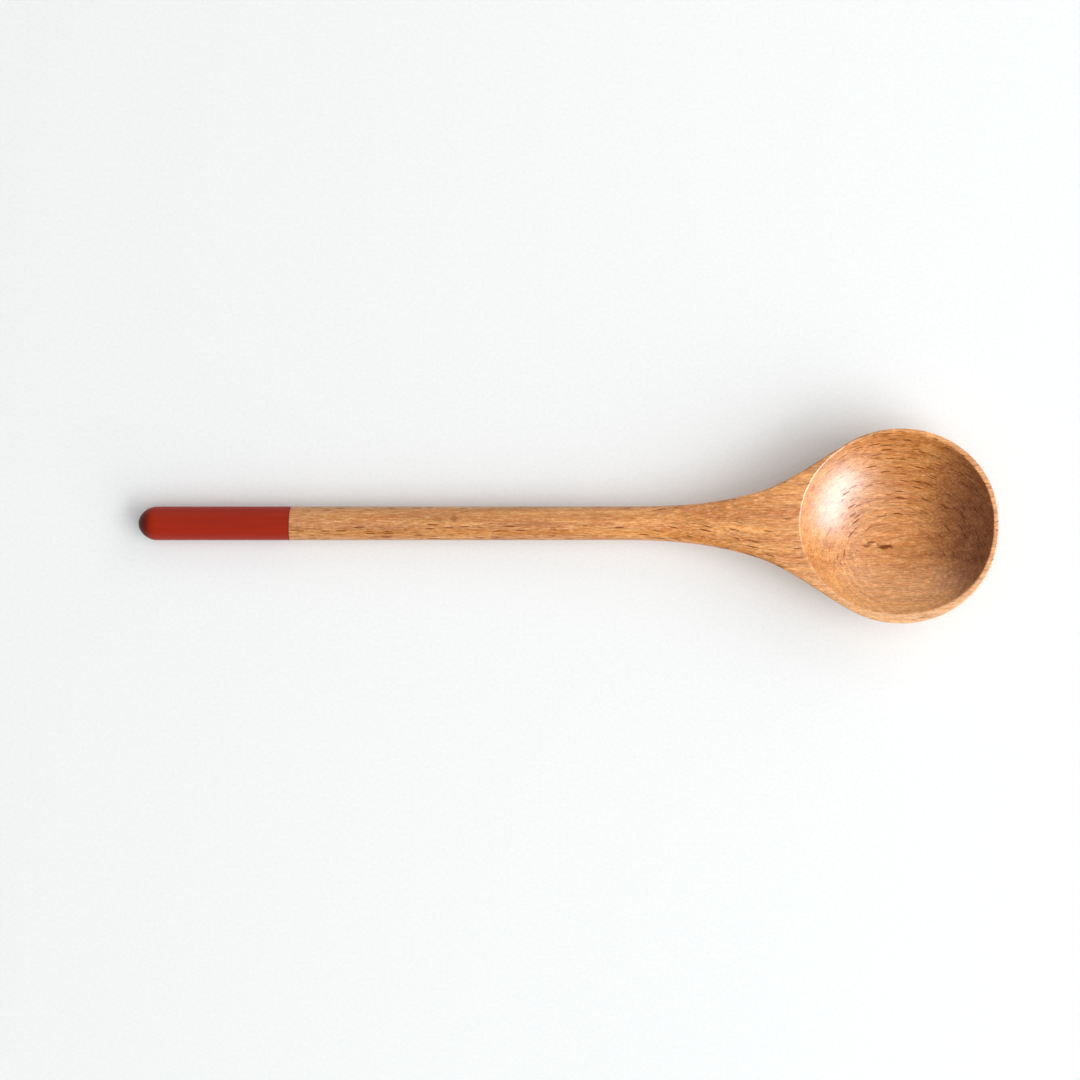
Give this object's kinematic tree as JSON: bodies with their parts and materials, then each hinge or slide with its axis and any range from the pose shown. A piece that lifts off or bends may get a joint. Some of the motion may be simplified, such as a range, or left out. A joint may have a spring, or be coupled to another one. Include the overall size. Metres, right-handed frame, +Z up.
{
  "type": "wooden spoon",
  "caption": "Long round-handled wooden spoon with a round shallow bowl, a flared neck and the end of its handle dipped in coloured paint.",
  "frame": {"origin": "the point of the table straight under the middle of the spoon's length, with the spoon lying hollow up on it", "axes": "+X runs from the painted tip of the handle to the far lip of the bowl, +Y across the spoon, +Z up out of the hollow"},
  "size_m": [0.21, 0.0472, 0.0145],
  "materials": {
    "oiled_beech": "satin clear finish",
    "white_primer": "flat",
    "red_dip_paint": "satin"
  },
  "bodies": {
    "root": {"beech_spoon": "oiled_beech", "primer_coat": "white_primer", "red_paint_coat": "red_dip_paint"}
  },
  "joints": []
}
